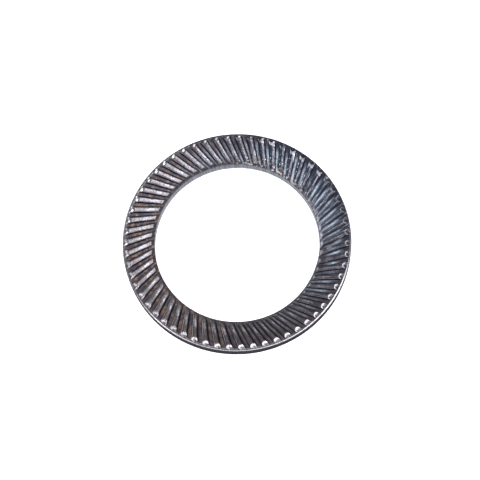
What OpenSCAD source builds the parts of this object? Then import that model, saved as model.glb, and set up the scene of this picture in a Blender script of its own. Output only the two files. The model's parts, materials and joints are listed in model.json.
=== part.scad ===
// Ribbed conical spring lock washer for an M12 screw: one dished ring of spring steel,
// with slanted ribs pressed into both faces. It lies on the rib ends round its bore,
// with the hollow side up. Sizes are in millimetres, and angles in degrees.

/* [Ring] */
// Outside diameter
outer_d = 18; // [17:0.25:20]
// Diameter of the bore
bore_d = 13; // [11:0.25:14]
// Thickness of the sheet between the ribs, square to its face
sheet_t = 0.94; // [0.7:0.02:1.4]
// How much higher the rim lies than the bore's edge
dish_rise = 0.44; // [0.2:0.02:0.8]
// Chamfer on both edges of the bore and on the lower edge of the rim
edge_break = 0.06; // [0.02:0.01:0.1]
// Radius of the rim's upper edge
rim_round = 0.15; // [0.08:0.01:0.3]

/* [Ribs] */
// Number of ribs on each face
rib_count = 59; // [36:1:64]
// Height of a rib above the face
rib_h = 0.18; // [0.1:0.01:0.25]
// Width of a rib's foot where it ends near the rim
rib_w_rim = 0.62; // [0.5:0.02:0.7]
// Width of a rib's foot where it ends near the bore
rib_w_bore = 0.46; // [0.36:0.02:0.5]
// Slope of a rib's long sides
rib_side_slope = 62; // [50:1:80]
// Radius of the crown across the top of a rib
rib_crown_r = 2; // [0.5:0.1:4]
// Distance by which the middle line of each rib passes the axis, which sets its slant
rib_slant = 3; // [0:0.25:4]
// Plain margin between the rim and the ribs
rim_margin = 0.16; // [0.1:0.02:0.4]
// Plain margin between the bore and the ribs
bore_margin = 0.05; // [0.05:0.01:0.3]
// Slope of a rib's end near the rim
rim_end_slope = 55; // [45:1:80]
// Slope of a rib's end near the bore
bore_end_slope = 38; // [30:1:70]
// Distance from the bore within which the ribs grow lower towards the bore
fall_w = 1; // [0.6:0.05:1.6]
// Angle between a rib's crest and the face there
fall_slope = 4; // [1:0.5:8]
// Distance from the rim to the middle of the round scoop in each rib's end
scoop_margin = 0.16; // [0.1:0.02:0.3]
// Radius of the scoop where it meets the face
scoop_r = 0.1; // [0.04:0.01:0.16]
// Slope of the scoop's wall
scoop_slope = 38; // [30:1:60]

/* [Hidden] */

// How far the rib solids reach into the sheet, so that they join it
rib_root = 0.1;
// Spare length and height of the rib bars, cut off by the rib band
bar_spare = 0.4;

outer_r = outer_d / 2;
bore_r = bore_d / 2;
ring_w = outer_r - bore_r;
dish_angle = atan(dish_rise / ring_w);
// The sheet and a rib, measured along the axis and not square to the sloping face
sheet_z = sheet_t / cos(dish_angle);
rib_z = rib_h / cos(dish_angle);

// Radii at which the ribs' feet end, and outside which they have their full height
foot_bore_r = bore_r + bore_margin;
foot_rim_r = outer_r - rim_margin;
full_r = bore_r + fall_w;

// Where the crests begin by the bore, from the two slopes that meet there
end_rate = tan(bore_end_slope);
fall_rate = tan(fall_slope);
crest_bore_r = (foot_bore_r * end_rate + rib_z - full_r * fall_rate) / (end_rate - fall_rate);
crest_bore_z = (crest_bore_r - foot_bore_r) * end_rate;

// Height of the under face at the bore, with the lowest rib crests at zero
under_z = crest_bore_z - (crest_bore_r - bore_r) * dish_rise / ring_w;

// Distance along a rib's middle line, from the point nearest the axis, at a radius
function along(r) = sqrt(r * r - rib_slant * rib_slant);

// The plain dished ring, as a turned section with broken edges and a round upper rim
module sheet_ring() {
    drop = edge_break * dish_rise / ring_w;
    rim_z = under_z + dish_rise;
    round_z = rim_z + sheet_z - rim_round * (1 + dish_rise / ring_w) + rim_round * tan(dish_angle / 2);
    rotate_extrude($fn = 180)
        polygon([
            [bore_r, under_z + edge_break],
            [bore_r + edge_break, under_z + drop],
            [outer_r - edge_break, rim_z - drop],
            [outer_r, rim_z + edge_break],
            for (a = [0:15:90])
                [outer_r - rim_round * (1 - cos(a)), round_z + rim_round * sin(a)],
            [bore_r + edge_break, under_z + sheet_z + drop],
            [bore_r, under_z + sheet_z - edge_break],
        ]);
}

// The band that the ribs fill, on a face that is at height zero at the bore and rises to
// the rim. Its ends slope, and it lowers the crests by the bore. Elsewhere it is taller
// than the ribs, which bring their own crowns.
module rib_band(rise) {
    top = rib_z + bar_spare / 2;
    clear_r = full_r + bar_spare;
    function face_z(r) = rise * (r - bore_r) / ring_w;
    function point(r, h) = [r, face_z(r) + h];
    rotate_extrude($fn = 180)
        polygon([
            point(foot_bore_r, -rib_root),
            point(foot_rim_r, -rib_root),
            point(foot_rim_r, 0),
            point(foot_rim_r - top / tan(rim_end_slope), top),
            point(clear_r, rib_z + (clear_r - full_r) * fall_rate),
            point(crest_bore_r, crest_bore_z),
            point(foot_bore_r, 0),
        ]);
}

// One side of a rib bar: a long block whose +X side slopes and has its foot at half_w
module bar_side(half_w, length) {
    top = rib_h + bar_spare / 2;
    rotate([90, 0, 0])
        linear_extrude(length, center = true)
            polygon([
                [-2 * rib_w_rim, -rib_root],
                [half_w, -rib_root],
                [half_w, 0],
                [half_w - top / tan(rib_side_slope), top],
                [-2 * rib_w_rim, top],
            ]);
}

// The round scoop that is taken out of a rib's end near the rim, at the origin
module scoop() {
    top = rib_h + bar_spare / 2;
    sunk = scoop_r / 2 * tan(scoop_slope);
    translate([0, 0, -sunk])
        cylinder(h = sunk + top, r1 = scoop_r / 2, r2 = scoop_r + top / tan(scoop_slope), $fn = 24);
}

// A rib bar along Y, wider towards the rim, with a crowned top at height rib_h
module rib_bar() {
    bar_l = along(foot_rim_r) - along(foot_bore_r);
    half_w = (rib_w_rim + rib_w_bore) / 4;
    taper = atan((rib_w_rim - rib_w_bore) / (2 * bar_l));
    length = bar_l + bar_spare;
    mid = (along(foot_rim_r) + along(foot_bore_r)) / 2;
    difference() {
        intersection() {
            rotate([0, 0, -taper]) bar_side(half_w, length);
            mirror([1, 0, 0]) rotate([0, 0, -taper]) bar_side(half_w, length);
            translate([0, 0, rib_h - rib_crown_r])
                rotate([90, 0, 0]) cylinder(r = rib_crown_r, h = length, center = true, $fn = 72);
        }
        translate([0, along(outer_r - scoop_margin) - mid, 0]) scoop();
    }
}

// All the ribs of one face, which is at height zero at the bore and rises to the rim
module rib_field(rise) {
    mid = (along(foot_rim_r) + along(foot_bore_r)) / 2;
    mid_r = norm([rib_slant, mid]);
    slope = rise / ring_w;
    climb = atan(slope * mid / mid_r);
    lean = atan(slope * rib_slant / mid_r);
    intersection() {
        rib_band(rise);
        for (i = [0:rib_count - 1])
            rotate([0, 0, i * 360 / rib_count])
                translate([rib_slant, mid, slope * (mid_r - bore_r)])
                    rotate([climb, 0, 0]) rotate([0, -lean, 0]) rib_bar();
    }
}

module washer() {
    color([0.33, 0.33, 0.35]) union() {
        sheet_ring();
        translate([0, 0, under_z + sheet_z]) rib_field(dish_rise);
        translate([0, 0, under_z]) rotate([180, 0, 0]) rib_field(-dish_rise);
    }
}

washer();
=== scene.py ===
"""A ribbed conical spring lock washer of dark steel, on a pale floor, seen from above.

The washer is one closed mesh: a turned section, with slanted ribs raised on both faces.
"""

import json
import math

import bpy
import numpy as np
from mathutils import Matrix, Quaternion, Vector


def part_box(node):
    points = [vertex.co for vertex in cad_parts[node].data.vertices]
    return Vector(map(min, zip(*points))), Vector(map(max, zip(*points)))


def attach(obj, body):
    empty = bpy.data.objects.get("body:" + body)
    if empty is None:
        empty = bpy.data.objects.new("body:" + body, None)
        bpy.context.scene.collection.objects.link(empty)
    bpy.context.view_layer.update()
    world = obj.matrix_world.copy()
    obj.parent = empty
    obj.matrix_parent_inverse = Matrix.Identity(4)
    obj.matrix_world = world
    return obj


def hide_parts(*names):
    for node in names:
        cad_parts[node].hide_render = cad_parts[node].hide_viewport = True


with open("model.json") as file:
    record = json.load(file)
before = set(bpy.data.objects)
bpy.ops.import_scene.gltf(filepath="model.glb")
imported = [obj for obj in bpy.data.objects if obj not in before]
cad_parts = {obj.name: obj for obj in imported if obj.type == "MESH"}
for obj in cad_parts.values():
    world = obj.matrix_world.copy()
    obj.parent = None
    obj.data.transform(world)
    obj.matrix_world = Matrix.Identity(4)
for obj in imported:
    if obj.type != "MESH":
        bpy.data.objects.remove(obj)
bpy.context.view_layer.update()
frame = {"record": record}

MM = 0.001

# The ring's size, from the frame and its bore
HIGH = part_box("washer")[1]
OUTER_R = HIGH.x
BORE_R = frame["record"]["mounts"][0]["dims"]["r_mm"] * MM
RING_W = OUTER_R - BORE_R

# The sheet and its dish, as in the part
SHEET_T = 0.94 * MM
DISH_RISE = 0.44 * MM
BOWL = 0.35  # share by which the dish is flatter at the bore than on average, and steeper at the rim
RIM_ROUND = 0.15 * MM
EDGE_ROUND = 0.06 * MM

# The ribs, as in the part
RIB_COUNT = 59
RIB_H = 0.18 * MM
RIB_W_RIM = 0.62 * MM
RIB_W_BORE = 0.46 * MM
RIB_SLANT = 3.0 * MM
RIM_MARGIN = 0.16 * MM
BORE_MARGIN = 0.05 * MM
CROWN_R = 2.0 * MM
SIDE_SLOPE = math.radians(62)
RIM_END_SLOPE = math.radians(55)
SCOOP_MARGIN = 0.16 * MM
SCOOP_R = 0.10 * MM
SCOOP_SLOPE = math.radians(38)
BORE_END_SLOPE = math.radians(38)
FALL_R = 7.5 * MM
FALL_SLOPE = math.radians(4)
BLEND = 0.020 * MM  # how softly the faces of a rib run into each other

# Small differences between the ribs: height as a share, and the place of the rim end
HEIGHT_SPREAD = 0.05
REACH_SPREAD = 0.02 * MM
SEED = 7
# A slight swelling of each crest, where it was rubbed most: radius, height, half length and width
SWELL_R = 7.38 * MM
SWELL_H = 0.016 * MM
SWELL_L = 0.22 * MM
SWELL_W = 0.13 * MM

# The rubbed spot on each crest, wear with a painted highlight: its half length, and how much the rest
# of the crest has
RUB_HIGHLIGHT_L = 0.30 * MM
RUB_HIGHLIGHT_LEAST = 0.15
# Shares of a rib's height at which the mark of its rim end, going down, and the mark of its
# scoop's lip, going up, begin and are full
RIM_END_HEIGHT = 1, 1 / 3
LIP_HEIGHT = 0.36, 0.66
# How much the form at a point has to be scoop, and how straight inwards of the scoop's middle
# the point has to lie, for the lip's mark to begin and be full
LIP_SCOOP = 0, 1 / 3
LIP_INWARDS = 1 / 3, 2 / 3
# How much the form has to be bore end for it to take the wall's painted shade
BORE_END_WALL = 2 / 15, 0.8
# Share of the bore wall's height that carries a painted reflection of the floor, and how much its
# upper edge looks like the bore wall
BORE_REFLECTION_SHARE = 1 / 3
BORE_EDGE_SHARE = 0.5
# Radius and half width of the faint painted highlight line inside the rim's edge
LEDGE_R, LEDGE_W = OUTER_R - 0.21 * MM, 0.035 * MM
# Half width and half length of the painted blue reflection strip along the middle of each groove
GROOVE_W, GROOVE_L = 0.085 * MM, 0.80 * MM
# Parts of the rim's rounded edge, as shares of its height: the painted highlight line on it, and the
# part that can take a painted highlight, below which it takes the rim wall's painted shade
EDGE_LINE = 0.7, 0.95
EDGE_SHEEN = 0.6, 0.97

# Columns on one side of a rib, as shares of its half width, and how many more fill a groove
SIDE_COLUMNS = [1.18, 1.05, 0.94, 0.83, 0.72, 0.56, 0.3]
RIB_COLUMNS = [*SIDE_COLUMNS, 0, *(-share for share in reversed(SIDE_COLUMNS))]
GROOVE_COLUMNS = 3
COLUMNS_A_RIB = len(RIB_COLUMNS) + GROOVE_COLUMNS
COLUMNS = RIB_COUNT * COLUMNS_A_RIB
PITCH = 2 * math.pi / RIB_COUNT

# Rows over the section, and how much closer together those of a face lie near its ends
TOP_ROWS = 40
UNDER_ROWS = 28
RIM_ARC_ROWS = 6
ARC_ROWS = 3
WALL_ROWS = 4
GATHER = 0.75


def step(value, start, stop):
    """0 where a value is at or before start, 1 from stop on, and in a straight line between."""
    return np.clip((value - start) / (stop - start), 0, 1)


def bell(away, width, power=2):
    """1 where away is zero, and nearly 0 at two widths. A higher power gives a flatter top."""
    return np.exp(-((away / width) ** power))


def dish(radius):
    """Height of a face above its height at the bore: a shallow bowl that rises to the rim."""
    x = (radius - BORE_R) / RING_W
    return DISH_RISE * ((1 - BOWL) * x + BOWL * x * x)


def dish_angle(radius):
    """Slope of the faces at a radius."""
    x = (radius - BORE_R) / RING_W
    return math.atan(DISH_RISE / RING_W * (1 - BOWL + 2 * BOWL * x))


# The sheet and a rib, measured along the axis, and where the crests begin by the bore
MEAN_SLOPE = math.atan(DISH_RISE / RING_W)
SHEET_Z = SHEET_T / math.cos(MEAN_SLOPE)
RIB_Z = RIB_H / math.cos(MEAN_SLOPE)
CREST_R = BORE_R + BORE_MARGIN + RIB_Z / math.tan(BORE_END_SLOPE)
# Height of the under face at the bore, so that the lowest crests touch the floor
UNDER_Z = RIB_Z - (FALL_R - CREST_R) * math.tan(FALL_SLOPE) - dish(CREST_R)


def along(radius):
    """Distance along a rib's middle line, from the point nearest the axis, at a radius."""
    return np.sqrt(radius**2 - RIB_SLANT**2)


def soft_min(parts, width):
    """The least of several heights, with the corners between them rounded, and each part's share."""
    parts = np.stack(np.broadcast_arrays(*parts))
    least = parts.min(0)
    weights = np.exp((least - parts) / width)
    return least - width * np.log(weights.sum(0)), weights / weights.sum(0)


def soft_floor(height, width):
    """The height where it is above zero, with a rounded foot."""
    return width * np.logaddexp(0, height / width)


def rib_half_width(run):
    """Half of a rib's width at its foot, at a distance along its middle line."""
    start, stop = along(BORE_R + BORE_MARGIN), along(OUTER_R - RIM_MARGIN)
    share = (run - start) / (stop - start)
    return (RIB_W_BORE + (RIB_W_RIM - RIB_W_BORE) * share) / 2


def rib_form(radius, offset, height, reach):
    """A rib's height above the face at some points, and marks that say what each point is.

    offset is the distance from the rib's middle line, height is the rib's own, and reach is
    how far its rim end is moved outwards. The form is the least of its six surfaces.
    """
    run = np.sqrt(radius**2 - (RIB_SLANT + offset) ** 2)
    inside = rib_half_width(run) - np.abs(offset)
    inwards = along(OUTER_R - SCOOP_MARGIN) + reach - run
    swell = SWELL_H * bell(radius - SWELL_R, SWELL_L) * bell(offset, SWELL_W)

    flank = inside * math.tan(SIDE_SLOPE)
    crown = height - (CROWN_R - np.sqrt(CROWN_R**2 - offset**2))
    scoop = (np.hypot(inwards, offset) - SCOOP_R) * math.tan(SCOOP_SLOPE)
    rim_end = (OUTER_R - RIM_MARGIN + reach - radius) * math.tan(RIM_END_SLOPE)
    bore_end = (radius - BORE_R - BORE_MARGIN) * math.tan(BORE_END_SLOPE)
    fall = height - (FALL_R - radius) * math.tan(FALL_SLOPE)
    rib, shares = soft_min([flank, crown + swell, scoop, rim_end, bore_end, fall + swell], BLEND)
    on_flank, on_crown, in_scoop, _, on_bore_end, on_fall = shares

    risen = soft_floor(rib, BLEND / 2)
    raised = step(rib, 0, BLEND)
    crest = on_crown + on_fall
    straight_inwards = np.cos(np.arctan2(offset, inwards))
    lip = step(rib / height, *LIP_HEIGHT) * step(in_scoop, *LIP_SCOOP)
    end_height = np.minimum(scoop, rim_end) / height
    groove_middle = PITCH / 2 * along(radius)
    marks = {
        "rib": risen / RIB_Z,
        "flank": on_flank * raised,
        "rim_end": step(end_height, *RIM_END_HEIGHT) * step(inside, 0, BLEND),
        "rub_and_highlight": crest * (RUB_HIGHLIGHT_LEAST + (1 - RUB_HIGHLIGHT_LEAST) * bell(radius - SWELL_R, RUB_HIGHLIGHT_L)),
        "crest": crest,
        "across": offset / RIB_W_RIM,
        "lip": lip * step(straight_inwards, *LIP_INWARDS),
        "wall": step(on_bore_end, *BORE_END_WALL) * raised,
        "groove": bell(np.abs(offset) - groove_middle, GROOVE_W) * bell(radius - SWELL_R, GROOVE_L, 4),
    }
    return risen, marks


def face_columns(radius):
    """Angles of all columns of a face at a radius, and each column's offset from its rib."""
    offsets = np.array(RIB_COLUMNS) * rib_half_width(along(radius))
    on_rib = np.arccos((RIB_SLANT + offsets) / radius)
    in_groove = np.linspace(on_rib[-1], on_rib[0] + PITCH, GROOVE_COLUMNS + 2)[1:-1]
    one = np.concatenate([on_rib, in_groove])
    # From the middle of the groove on, the next rib is the nearer one
    nearer_next = np.arange(COLUMNS_A_RIB) >= len(on_rib) + (GROOVE_COLUMNS + 1) // 2
    offset = radius * np.cos(one - PITCH * nearer_next) - RIB_SLANT
    angles = PITCH * np.arange(RIB_COUNT)[:, None] + one
    return angles.ravel(), np.tile(offset, RIB_COUNT)


def spaced(start, stop, count):
    """Radii from start to stop, closer together near the ends."""
    t = np.linspace(0, 1, count)
    gathered = 0.5 - 0.5 * np.cos(math.pi * t)
    return start + (stop - start) * ((1 - GATHER) * t + GATHER * gathered)


def arc(centre, size, start, stop, count):
    """Points round one rounded edge of the section, between two angles in degrees, ends left out."""
    angles = np.radians(np.linspace(start, stop, count + 2)[1:-1])
    return [(centre[0] + size * math.cos(a), centre[1] + size * math.sin(a)) for a in angles]


def face_end(radius, size, side):
    """Where a face meets the arc of an edge, and the arc's centre, on the top (1) or below (-1)."""
    slope = dish_angle(radius)
    into_sheet = -1 if radius > BORE_R + RING_W / 2 else 1
    centre_r = radius + into_sheet * size
    meet_r = centre_r - side * size * math.sin(slope)
    meet_z = UNDER_Z + dish(meet_r) + (SHEET_Z if side > 0 else 0)
    return meet_r, (centre_r, meet_z - side * size * math.cos(slope))


# What is known about each point: the height on a rib, a rib's flanks, its rim end, the rubbed and
# highlighted part of its crest, the whole crest, the place across the rib, the lip of its scoop, the
# middle of a groove, the painted highlight line inside the rim's edge, the painted highlight line on
# that edge, the part of the edge that can take a painted highlight, the rim's wall and the ribs' bore
# ends, and the bore's wall with its lower part. All lie between 0 and about 1, but "across" is below 0
# on one side of a rib.
MARKS = ("rib", "flank", "rim_end", "rub_and_highlight", "crest", "across", "lip", "groove", "ledge", "edge",
         "polish", "wall", "bore", "low")


class Grid:
    """Rows of points round the axis, from which the closed mesh is made."""

    def __init__(self):
        self.rows = []
        self.marks = []

    def add(self, radius, z, angles, **marks):
        """A row of points, with its marks. One that isn't given is 0 along the whole row."""
        x, y = radius * np.cos(angles), radius * np.sin(angles)
        self.rows.append(np.stack([x, y, z + 0 * angles], 1))
        self.marks.append({name: marks.get(name, 0) + 0 * angles for name in MARKS})

    def add_face(self, side, radii, random):
        """One face with its ribs. The under face has the top's ribs, turned over."""
        heights = RIB_Z * (1 - HEIGHT_SPREAD * random.random(RIB_COUNT)).repeat(COLUMNS_A_RIB)
        reaches = (REACH_SPREAD * random.standard_normal(RIB_COUNT)).repeat(COLUMNS_A_RIB)
        for radius in radii:
            angles, offset = face_columns(radius)
            rib, marks = rib_form(radius, offset, heights, reaches)
            base = UNDER_Z + dish(radius) + (SHEET_Z if side > 0 else 0)
            if side < 0:
                angles, rib = -angles[::-1], rib[::-1]
                marks = {name: value[::-1] for name, value in marks.items()}
            ledge = bell(radius - LEDGE_R, LEDGE_W)
            self.add(radius, base + side * rib, angles, ledge=ledge, **marks)

    def roll(self, first, places):
        """Turn the columns of all rows from the first on by some places."""
        for i in range(first, len(self.rows)):
            self.rows[i] = np.roll(self.rows[i], places, 0)
            self.marks[i] = {name: np.roll(value, places) for name, value in self.marks[i].items()}


def nearest_column(angles, angle):
    """Which column lies nearest to an angle."""
    return int(np.argmax(np.cos(angles - angle)))


def washer_grid():
    """The washer's rows: out over the top, down the rim, in over the under face and up the bore."""
    random = np.random.default_rng(SEED)
    grid = Grid()
    top_bore_r, top_bore_arc = face_end(BORE_R, EDGE_ROUND, 1)
    top_rim_r, top_rim_arc = face_end(OUTER_R, RIM_ROUND, 1)
    low_rim_r, low_rim_arc = face_end(OUTER_R, EDGE_ROUND, -1)
    low_bore_r, low_bore_arc = face_end(BORE_R, EDGE_ROUND, -1)
    rim_slope = math.degrees(dish_angle(OUTER_R))
    bore_slope = math.degrees(dish_angle(BORE_R))

    grid.add_face(1, spaced(top_bore_r, top_rim_r, TOP_ROWS), random)
    around = face_columns(OUTER_R)[0]
    for r, z in arc(top_rim_arc, RIM_ROUND, 90 + rim_slope, 0, RIM_ARC_ROWS):
        share = (z - top_rim_arc[1]) / RIM_ROUND
        edge = float(EDGE_LINE[0] < share < EDGE_LINE[1])
        polish = float(EDGE_SHEEN[0] < share < EDGE_SHEEN[1])
        grid.add(r, z, around, edge=edge, polish=polish, wall=float(share < EDGE_SHEEN[0]))
    for z in np.linspace(top_rim_arc[1], low_rim_arc[1], WALL_ROWS):
        grid.add(OUTER_R, z, around, wall=1)
    for r, z in arc(low_rim_arc, EDGE_ROUND, 0, rim_slope - 90, ARC_ROWS):
        grid.add(r, z, around, wall=1)

    first_under = len(grid.rows)
    grid.add_face(-1, spaced(low_rim_r, low_bore_r, UNDER_ROWS), random)
    under_rim = -face_columns(low_rim_r)[0][::-1]
    under_bore = -face_columns(low_bore_r)[0][::-1]
    for r, z in arc(low_bore_arc, EDGE_ROUND, bore_slope - 90, -180, ARC_ROWS):
        grid.add(r, z, under_bore)
    for z in np.linspace(low_bore_arc[1], top_bore_arc[1], WALL_ROWS):
        share = (z - low_bore_arc[1]) / (top_bore_arc[1] - low_bore_arc[1])
        grid.add(BORE_R, z, under_bore, bore=1, low=step(share, BORE_REFLECTION_SHARE, 0))
    for r, z in arc(top_bore_arc, EDGE_ROUND, 180, 90 + bore_slope, ARC_ROWS):
        grid.add(r, z, under_bore, bore=BORE_EDGE_SHARE)
    # The under face's columns start at another angle than the rim's, and are turned to meet them
    grid.roll(first_under, -nearest_column(under_rim, around[0]))
    return grid


def washer(name):
    """The whole washer as one closed mesh, with attributes for its material."""
    grid = washer_grid()
    points = np.concatenate(grid.rows)
    count = len(grid.rows)
    # Where the last row meets the first, the seam says how many columns apart the two start
    last, first = grid.rows[-1], grid.rows[0]
    seam = nearest_column(np.arctan2(last[:, 1], last[:, 0]), math.atan2(first[0, 1], first[0, 0]))
    column = np.arange(COLUMNS)
    faces = []
    for row in range(count):
        after = (row + 1) % count
        shift = seam if after == 0 else 0
        near = row * COLUMNS + (column + shift) % COLUMNS
        near_next = row * COLUMNS + (column + 1 + shift) % COLUMNS
        far = after * COLUMNS + column
        far_next = after * COLUMNS + (column + 1) % COLUMNS
        faces.append(np.stack([near, far, far_next, near_next], 1))
    mesh = bpy.data.meshes.new(name)
    mesh.from_pydata(points.tolist(), [], np.concatenate(faces).tolist())
    mesh.shade_smooth()
    marks = {name: np.concatenate([row[name] for row in grid.marks]) for name in MARKS}
    add_attributes(mesh, points, marks)
    piece = bpy.data.objects.new(name, mesh)
    bpy.context.scene.collection.objects.link(piece)
    return piece


# Parts of the ring that look different from the rest: the angle of the middle of each,
# anticlockwise from +X, and the spread over which it fades away from there, in degrees
SECTORS = {
    "brown": (188, 62),  # the oxide in the grooves is brown
    "blue_reflection": (25, 48),  # the grooves carry painted blue reflection strips
    "short": (338, 16),  # the painted blue reflection strips are short, and lie nearer to the rim
    "cool_shade": (36, 42),  # painted cool shade makes the steel darker and bluer, with a painted speckled sheen
    "near_shade": (258, 42),  # painted shade: the crests are darker and warmer on the near side
    "line": (15, 50),  # the crests carry a painted highlight line
    "wide": (140, 42),  # the crests and the rim ends carry a painted highlight over their whole width
    "spot": (55, 30),  # the crests carry a painted highlight spot near the rim
    "lip": (265, 62),  # the lips of the scoops carry a painted highlight
    "edge": (275, 50),  # the rim's edge has its strongest painted highlight line
    "polish_right": (318, 20),  # the rim's edge carries a painted highlight, and not only on that line
    "polish_left": (222, 12),  # and here too
    "margin": (142, 24),  # the plain margin inside the rim's edge carries a painted highlight
    "ledge": (256, 20),  # and here it has a faint painted highlight line
    "wall_reflection": (0, 15),  # the rim's wall carries a pale painted reflection
    "glint": (58, 20),  # there are painted light glints by the bore
    "gold_glint": (56, 18),  # there are painted gold glints by the bore
}
# Radius and half length of the short painted blue reflection strips, and of the painted highlight
# spots near the rim
SHORT_R, SHORT_L = 7.85 * MM, 0.50 * MM
SPOT_R, SPOT_L = OUTER_R - 0.54 * MM, 0.10 * MM
# Radius and half width of the painted highlight on the margin
MARGIN_R, MARGIN_W = OUTER_R - 0.21 * MM, 0.05 * MM
# Distances from the rim at which the brown and the painted highlight of the rim ends begin and are
# full
BROWN_FADE = 0.21 * MM, 0.51 * MM
END_HIGHLIGHT_FADE = 0.16 * MM, 0.24 * MM
# Distances from the bore at which the painted glints and gold glints begin and are full
GLINT_FADE = 2.08 * MM, 0.48 * MM
GOLD_GLINT_FADE = 1.1 * MM, 0
# How far from the middle of a crest the painted highlight line on it ends at the rim
LINE_SIDE = 0.07 * MM
# In the wide sector: how much weaker the rubbed, highlighted spot is, how much of the whole crest gets
# it, how much wider it is, and how strongly the lips and the rim ends get the painted highlight
WIDE_WEAKER, WIDE_CREST, WIDE_MORE, WIDE_LIP, WIDE_END = 0.5, 0.1, 1.2, 0.3, 0.7
# How strong the painted highlight line on the rim's edge is at least, how strong the painted
# highlights on the margin and inside the edge are, and how strong the painted reflection on the wall
# is at most
EDGE_LEAST, MARGIN_HIGHLIGHT, LEDGE_HIGHLIGHT, WALL_REFLECTION_MOST = 0.22, 0.2, 0.45, 0.5
# How fast the streaks change along the ribs, as a share of how fast they do round the bore
LAY_RATE = 0.16
# Marks that the material reads as they are
PLAIN_MARKS = ("rib", "flank", "rim_end", "across", "groove", "wall", "bore", "low")


def add_attributes(mesh, points, marks):
    """Values that the steel's material reads at each point of the mesh."""
    radius = np.hypot(points[:, 0], points[:, 1])
    angle = np.arctan2(points[:, 1], points[:, 0])

    def sector(name):
        """How far each point lies in a sector: 1 in its middle, fading to 0."""
        middle, spread = SECTORS[name]
        away = (np.degrees(angle) - middle + 180) % 360 - 180
        return np.exp(-0.5 * (away / spread) ** 2)

    wide = sector("wide")
    short = sector("short")
    away_from_short = 1 - bell(radius - SHORT_R, SHORT_L)
    # Painted highlights: on the rim ends in the wide sector, and on the spots near the rim
    ends = marks["rim_end"] * wide * step(OUTER_R - radius, *END_HIGHLIGHT_FADE)
    spots = np.maximum(marks["crest"] * bell(radius - SPOT_R, SPOT_L), marks["lip"]) * sector("spot")
    # Painted highlight lines and bands on the rim's edge, on its margin and inside it
    edges = [
        marks["edge"] * np.maximum(sector("edge"), EDGE_LEAST),
        marks["polish"] * np.maximum(sector("polish_right"), sector("polish_left")),
        MARGIN_HIGHLIGHT * bell(radius - MARGIN_R, MARGIN_W) * sector("margin"),
        LEDGE_HIGHLIGHT * marks["ledge"] * sector("ledge"),
    ]
    values = {name: marks[name] for name in PLAIN_MARKS} | {
        "brown": sector("brown") * step(OUTER_R - radius, *BROWN_FADE),
        "blue_reflection": np.maximum(sector("blue_reflection"), short) * (1 - short * away_from_short),
        "wall_reflection": WALL_REFLECTION_MOST * sector("wall_reflection"),
        "cool_shade": sector("cool_shade"),
        "near_shade": sector("near_shade"),
        "lip": marks["lip"] * np.maximum(sector("lip"), WIDE_LIP * wide),
        "glint": sector("glint") * step(radius - BORE_R, *GLINT_FADE),
        "gold_glint": sector("gold_glint") * step(radius - BORE_R, *GOLD_GLINT_FADE),
        "edge": np.max(edges, 0),
        "rub_and_highlight": marks["rub_and_highlight"] * (1 - WIDE_WEAKER * wide) + WIDE_CREST * marks["crest"] * wide,
        "rub_and_highlight_across": np.abs(marks["across"]) / (1 + WIDE_MORE * wide),
        "line": marks["crest"] * sector("line"),
        "line_at": LINE_SIDE / RIB_W_RIM * (radius - BORE_R) / RING_W,
        "end_highlight": np.maximum(WIDE_END * ends, spots),
    }
    for name, value in values.items():
        attribute = mesh.attributes.new(name, "FLOAT", "POINT")
        attribute.data.foreach_set("value", value.astype(np.float32))

    # A place that hardly changes along a rib, so that noise read there makes streaks along it
    turned = angle - np.arccos(RIB_SLANT / radius)
    lay = np.stack([BORE_R * np.cos(turned), BORE_R * np.sin(turned), LAY_RATE * radius], 1)
    attribute = mesh.attributes.new("lay", "FLOAT_VECTOR", "POINT")
    attribute.data.foreach_set("vector", lay.astype(np.float32).ravel())


class Shader:
    """A material's node tree, with short calls for the nodes that this script uses."""

    def __init__(self, name):
        self.material = bpy.data.materials.new(name)
        self.material.use_nodes = True
        self.tree = self.material.node_tree
        self.surface = self.tree.nodes["Principled BSDF"]

    def link(self, value, socket):
        """Give a socket its value: another node's output, or a number or colour."""
        if isinstance(value, bpy.types.NodeSocket):
            self.tree.links.new(value, socket)
        else:
            socket.default_value = value

    def attribute(self, name, output="Fac"):
        node = self.tree.nodes.new("ShaderNodeAttribute")
        node.attribute_name = name
        return node.outputs[output]

    def position(self):
        return self.tree.nodes.new("ShaderNodeTexCoord").outputs["Object"]

    def noise(self, vector, scale, detail, roughness):
        node = self.tree.nodes.new("ShaderNodeTexNoise")
        node.inputs["Scale"].default_value = scale
        node.inputs["Detail"].default_value = detail
        node.inputs["Roughness"].default_value = roughness
        self.link(vector, node.inputs["Vector"])
        return node.outputs["Fac"]

    def ramp(self, value, begin, end, start=0, stop=1):
        """A soft step: start where the value is at begin or before, and stop from end on."""
        node = self.tree.nodes.new("ShaderNodeMapRange")
        node.interpolation_type = "SMOOTHSTEP"
        numbers = {"From Min": begin, "From Max": end, "To Min": start, "To Max": stop}
        for socket, number in numbers.items():
            node.inputs[socket].default_value = number
        self.link(value, node.inputs["Value"])
        return node.outputs["Result"]

    def math(self, operation, *values):
        node = self.tree.nodes.new("ShaderNodeMath")
        node.operation = operation
        for value, socket in zip(values, node.inputs):
            self.link(value, socket)
        return node.outputs[0]

    def product(self, first, *others):
        for other in others:
            first = self.math("MULTIPLY", first, other)
        return first

    def mix(self, share, first, second):
        """A colour that goes from the first to the second as share goes from 0 to 1."""
        node = self.tree.nodes.new("ShaderNodeMix")
        node.data_type = "RGBA"
        self.link(share, node.inputs["Factor"])
        self.link(first, node.inputs["A"])
        self.link(second, node.inputs["B"])
        return node.outputs["Result"]

    def bump(self, height, distance):
        node = self.tree.nodes.new("ShaderNodeBump")
        node.inputs["Distance"].default_value = distance
        self.link(height, node.inputs["Height"])
        return node.outputs["Normal"]


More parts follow.
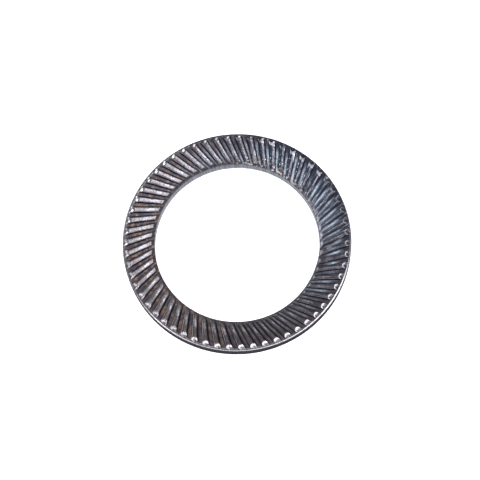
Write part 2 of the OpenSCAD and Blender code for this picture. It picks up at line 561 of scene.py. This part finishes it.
# Colours of the steel, in linear light; several are painted light: highlights, glints, reflections and
# shade
OXIDE = (0.056, 0.050, 0.062, 1)
# painted cool shade on the oxide and the flanks on one side of the ring
NAVY_SHADE = (0.018, 0.026, 0.044, 1)
SHADE = (0.020, 0.020, 0.025, 1)
BROWN = (0.21, 0.135, 0.095, 1)
# painted reflection of a bluish light along the middle of the grooves
BLUE_REFLECTION_COLOUR = (0.55, 0.69, 0.84, 1)
WORN = (0.118, 0.108, 0.114, 1)
# painted shade on the crests of the near side
CREST_NEAR_SHADE = (0.080, 0.068, 0.068, 1)
# painted cool shade on the crests on that side
CREST_COOL_SHADE = (0.019, 0.024, 0.038, 1)
# painted highlight: the light on the rim ends, the scoops' lips, the rim's edge and the glints by the
# bore
HIGHLIGHT_COLOUR = (0.62, 0.61, 0.64, 1)
# rubbed steel with a painted highlight, for the spot on each crest
RUB_HIGHLIGHT_COLOUR = (0.49, 0.49, 0.55, 1)
# pale painted light: the speckled sheen, the light lines on the crests and the reflection on the rim's
# wall
PALE_PAINTED_LIGHT = (0.56, 0.55, 0.64, 1)
BORE = (0.12, 0.135, 0.165, 1)
# painted reflection of the pale floor on the bore wall's lower part
BORE_FLOOR_REFLECTION = (0.36, 0.38, 0.42, 1)
# painted shade: the dark rim wall and the ribs' bore ends
WALL_SHADE = (0.042, 0.040, 0.047, 1)
# painted gold glints by the bore
GOLD_GLINT_COLOUR = (0.50, 0.42, 0.34, 1)

# Noise in the steel: its scale in cells to a metre, its detail, and how rough the detail is
GRAIN = 9000, 3, 0.6
BLOTCH = 2600, 2, 0.5
STREAK = 9000, 2, 0.6
FINE_STREAK = 13000, 2, 0.6
RIB_TO_RIB = 1500, 0, 0.5
SHEEN_SPECKLE_NOISE = 8000, 1, 0.5
BLUE_REFLECTION_NOISE = 3500, 1, 0.5
GLINT_NOISE = 8000, 0, 0.5
GOLD_GLINT_NOISE = 5200, 1, 0.5

# The steel's shine: how metallic it is, and how rough where it is dark, polished, or a rim end with a
# painted highlight
METALLIC = 0.95
ROUGH_DARK, ROUGH_POLISHED, ROUGH_END_HIGHLIGHT = 0.45, 0.2, 0.6
GRAIN_DEPTH = 0.006 * MM


def steel():
    """Dark tempered spring steel: rubbed crests, brown oxide in the grooves, fine mottling, and
    painted highlights, glints, reflections and shade.

    The numbers of each ramp say over which range of its value a look comes in, and how strong
    it is at both ends of that range.
    """
    s = Shader("dark_spring_steel")
    place = s.position()
    lay = s.attribute("lay", "Vector")
    cool_shade = s.attribute("cool_shade")
    wall = s.attribute("wall")
    edge = s.attribute("edge")
    grain = s.noise(place, *GRAIN)
    streak = s.noise(lay, *STREAK)

    # The ribs: how much each part of them shows at a point, with painted shade on the flanks and
    # painted highlights on the rim ends and the crests' spots and lines
    end = s.ramp(s.attribute("rim_end"), 0.1, 0.5)
    crest = s.math("MAXIMUM", s.ramp(s.attribute("rib"), 0.25, 0.6), end)
    flank = s.ramp(s.attribute("flank"), 0.3, 0.8, 0, 0.6)
    each_rib = s.ramp(s.noise(lay, *RIB_TO_RIB), 0.35, 0.6, 0.3, 1)
    # painted highlight on the rim ends and the spots near the rim
    end_highlight = s.product(s.ramp(s.attribute("end_highlight"), 0.1, 0.9, 0, 0.75), each_rib)
    near_middle = s.ramp(s.attribute("rub_and_highlight_across"), 0.04, 0.2, 1, 0)
    # the rubbed spot on each crest: wear, with a painted highlight
    rub_and_highlight = s.product(s.attribute("rub_and_highlight"), s.ramp(streak, 0.3, 0.6, 0.4, 1), near_middle)
    # painted highlight line along the crests
    off_line = s.math("SUBTRACT", s.attribute("across"), s.attribute("line_at"))
    on_line = s.ramp(s.math("ABSOLUTE", off_line), 0.03, 0.13, 1, 0)
    line = s.product(s.attribute("line"), on_line, s.ramp(streak, 0.35, 0.6, 0.3, 1))

    # Brown in the grooves, painted blue reflections in them, a painted speckled sheen, and painted
    # glints and gold glints by the bore
    brown = s.product(s.attribute("brown"), s.ramp(s.noise(place, *BLOTCH), 0.43, 0.66))
    # painted blue reflection along the middle of the grooves
    in_groove = s.product(s.attribute("blue_reflection"), s.attribute("groove"))
    blue_reflection = s.product(in_groove, s.ramp(s.noise(lay, *BLUE_REFLECTION_NOISE), 0.36, 0.58, 0.1, 1))
    # painted speckled sheen on one side of the ring
    speckled_sheen = s.product(cool_shade, s.ramp(s.noise(lay, *SHEEN_SPECKLE_NOISE), 0.56, 0.7, 0, 0.45))
    # painted glints and gold glints by the bore
    glint = s.product(s.attribute("glint"), s.ramp(s.noise(place, *GLINT_NOISE), 0.7, 0.78, 0, 0.8))
    gold_glint = s.product(s.attribute("gold_glint"), s.ramp(s.noise(place, *GOLD_GLINT_NOISE), 0.52, 0.66))

    # Dark mottling, weaker where highlights are painted
    polished = s.math("MAXIMUM", end_highlight, edge)
    mottle = s.product(s.ramp(grain, 0.38, 0.66, 0, 0.6), s.ramp(polished, 0, 0.6, 1, 0.35))
    fine = s.ramp(s.noise(lay, *FINE_STREAK), 0.5, 0.3, 0, 0.45)

    # The bore's wall, with a painted reflection of the floor on its lower part and punch marks down it
    bore = s.mix(s.attribute("low"), BORE, BORE_FLOOR_REFLECTION)
    bore = s.mix(s.ramp(streak, 0.4, 0.62, 0, 0.55), bore, SHADE)
    bore = s.mix(s.ramp(grain, 0.42, 0.62, 0, 0.4), bore, SHADE)

    # The layers over the plain oxide, from the lowest up: how much each shows, and its colour; many
    # are painted highlights, reflections and shade
    layers = [
        (brown, BROWN),
        (blue_reflection, BLUE_REFLECTION_COLOUR),
        # the crests' worn colour, with painted shade: darker and warmer on the near side, darker and
        # bluer on one side
        (crest, s.mix(cool_shade, s.mix(s.attribute("near_shade"), WORN, CREST_NEAR_SHADE), CREST_COOL_SHADE)),
        # painted shade on the ribs' flanks
        (flank, s.mix(cool_shade, SHADE, NAVY_SHADE)),
        (rub_and_highlight, s.mix(cool_shade, RUB_HIGHLIGHT_COLOUR, CREST_COOL_SHADE)),
        (speckled_sheen, PALE_PAINTED_LIGHT),
        (line, PALE_PAINTED_LIGHT),
        (end_highlight, HIGHLIGHT_COLOUR),
        # painted highlight on the scoops' lips
        (s.attribute("lip"), HIGHLIGHT_COLOUR),
        # painted highlight on the rim's edge and margin
        (edge, HIGHLIGHT_COLOUR),
        # painted shade on the rim's wall and the ribs' bore ends, with a pale painted reflection on
        # part of the wall
        (wall, s.mix(s.attribute("wall_reflection"), WALL_SHADE, PALE_PAINTED_LIGHT)),
        (mottle, SHADE),
        (fine, SHADE),
        (gold_glint, GOLD_GLINT_COLOUR),
        (glint, HIGHLIGHT_COLOUR),
        (s.attribute("bore"), bore),
    ]
    # the plain oxide, with painted cool shade on one side of the ring
    colour = s.mix(cool_shade, OXIDE, NAVY_SHADE)
    for share, layer in layers:
        colour = s.mix(share, colour, layer)
    s.link(colour, s.surface.inputs["Base Color"])

    s.link(s.ramp(wall, 0, 1, METALLIC, 0), s.surface.inputs["Metallic"])
    s.link(0, s.surface.inputs["Specular IOR Level"])
    rough = s.ramp(s.math("MAXIMUM", crest, edge), 0.2, 0.7, ROUGH_DARK, ROUGH_POLISHED)
    rough = s.math("MAXIMUM", rough, s.product(end_highlight, ROUGH_END_HIGHLIGHT))
    s.link(rough, s.surface.inputs["Roughness"])
    s.link(s.bump(s.math("ADD", grain, streak), GRAIN_DEPTH), s.surface.inputs["Normal"])
    return s.material


FLOOR_SIZE = 0.6
FLOOR_COLOUR = (0.95, 0.95, 0.95, 1)
FLOOR_ROUGH = 0.8
FLOOR_GLOW = 0.62  # white that the floor adds to its own light, for the camera and in the metal


def floor():
    """A pale floor that keeps the washer's shadow and shows as white elsewhere."""
    s = Shader("pale_floor")
    s.link(FLOOR_ROUGH, s.surface.inputs["Roughness"])
    s.link(FLOOR_COLOUR, s.surface.inputs["Base Color"])
    path = s.tree.nodes.new("ShaderNodeLightPath")
    seen = s.math("ADD", path.outputs["Is Camera Ray"], path.outputs["Is Glossy Ray"])
    seen = s.math("ADD", seen, path.outputs["Is Transmission Ray"])
    glow = s.tree.nodes.new("ShaderNodeEmission")
    s.link(s.product(seen, FLOOR_GLOW), glow.inputs["Strength"])
    both = s.tree.nodes.new("ShaderNodeAddShader")
    s.link(s.surface.outputs[0], both.inputs[0])
    s.link(glow.outputs[0], both.inputs[1])
    s.link(both.outputs[0], s.tree.nodes["Material Output"].inputs["Surface"])
    bpy.ops.mesh.primitive_plane_add(size=FLOOR_SIZE, location=(0, 0, 0))
    plane = bpy.context.object
    plane.name = "floor"
    plane.data.materials.append(s.material)


# The lamps' distance from the washer, and the light that comes from all round
LAMP_DISTANCE = 0.3
WORLD_COLOUR = (0.42, 0.42, 0.435, 1)


def softbox(name, tilt, size, turn, radiance, colour=(1, 1, 1)):
    """A soft oval lamp that faces the washer.

    tilt is its two angles from straight above, towards +X and towards +Y, and size its two half
    widths seen from the washer. They and its turn about its own axis are in degrees.
    """
    light = bpy.data.lights.new(name, "AREA")
    light.shape = "ELLIPSE"
    light.size, light.size_y = (2 * LAMP_DISTANCE * math.tan(math.radians(half)) for half in size)
    area = math.pi / 4 * light.size * light.size_y
    light.energy = radiance * math.pi * area  # the power with which it shows that radiance
    light.color = colour
    obj = bpy.data.objects.new(name, light)
    way = Vector((math.tan(math.radians(tilt[0])), math.tan(math.radians(tilt[1])), 1)).normalized()
    obj.location = way * LAMP_DISTANCE
    facing = way.to_track_quat("Z", "Y") @ Quaternion((0, 0, 1), math.radians(turn))
    obj.rotation_euler = facing.to_euler()
    bpy.context.scene.collection.objects.link(obj)


def lighting():
    """The studio: an even grey world, and soft lamps whose reflections the steel shows."""
    world = bpy.data.worlds.new("studio")
    bpy.context.scene.world = world
    world.use_nodes = True
    world.node_tree.nodes["Background"].inputs["Color"].default_value = WORLD_COLOUR
    softbox("main_softbox", (17, 6), (22, 13), -42, 4.5)
    softbox("side_softbox", (-59, 58), (30, 20), 0, 6.0)
    softbox("front_softbox", (-13, -33), (50, 17), 0, 2.8)
    softbox("right_softbox", (42, -18), (18, 18), 0, 3.2)
    softbox("low_softbox", (11, 41), (20, 9), -30, 0.7)
    softbox("cool_softbox", (-17, 5), (8, 17), 0, 1.1, (0.8, 0.91, 1))


# The camera's place and turn, and the scale and the middle of the photo's view
VIEW_ELEVATION = math.radians(72.0)
VIEW_AZIMUTH = math.radians(-1.9)
VIEW_ROLL = math.radians(5.7)
VIEW_DISTANCE = 120 * MM
PIXELS_PER_MM = 12.76
IMAGE_W = 480
CENTRE_PX = (236.7, 239.5)  # where the middle of the rim's top edge shows in the picture


def camera():
    """The photo's view: from high up, a little turned and rolled."""
    data = bpy.data.cameras.new("camera")
    data.sensor_width = 36
    data.lens = PIXELS_PER_MM * (VIEW_DISTANCE / MM) * data.sensor_width / IMAGE_W
    data.clip_start = 0.001
    data.clip_end = 10
    obj = bpy.data.objects.new("camera", data)
    back = Vector((
        math.sin(VIEW_AZIMUTH) * math.cos(VIEW_ELEVATION),
        -math.cos(VIEW_AZIMUTH) * math.cos(VIEW_ELEVATION),
        math.sin(VIEW_ELEVATION),
    ))
    turn = back.to_track_quat("Z", "Y").to_matrix() @ Matrix.Rotation(-VIEW_ROLL, 3, "Z")
    right, up = turn @ Vector((1, 0, 0)), turn @ Vector((0, 1, 0))
    half = IMAGE_W / 2
    off_x = (half - CENTRE_PX[0]) / PIXELS_PER_MM * MM
    off_y = (CENTRE_PX[1] - half) / PIXELS_PER_MM * MM
    target = Vector((0, 0, HIGH.z)) + right * off_x + up * off_y
    obj.matrix_world = Matrix.Translation(target + back * VIEW_DISTANCE) @ turn.to_4x4()
    bpy.context.scene.collection.objects.link(obj)
    bpy.context.scene.camera = obj


bpy.context.scene.view_settings.view_transform = "Standard"
camera()
lighting()
floor()
piece = washer("washer_ring")
piece.data.materials.append(steel())
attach(piece, "root")
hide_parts("washer")
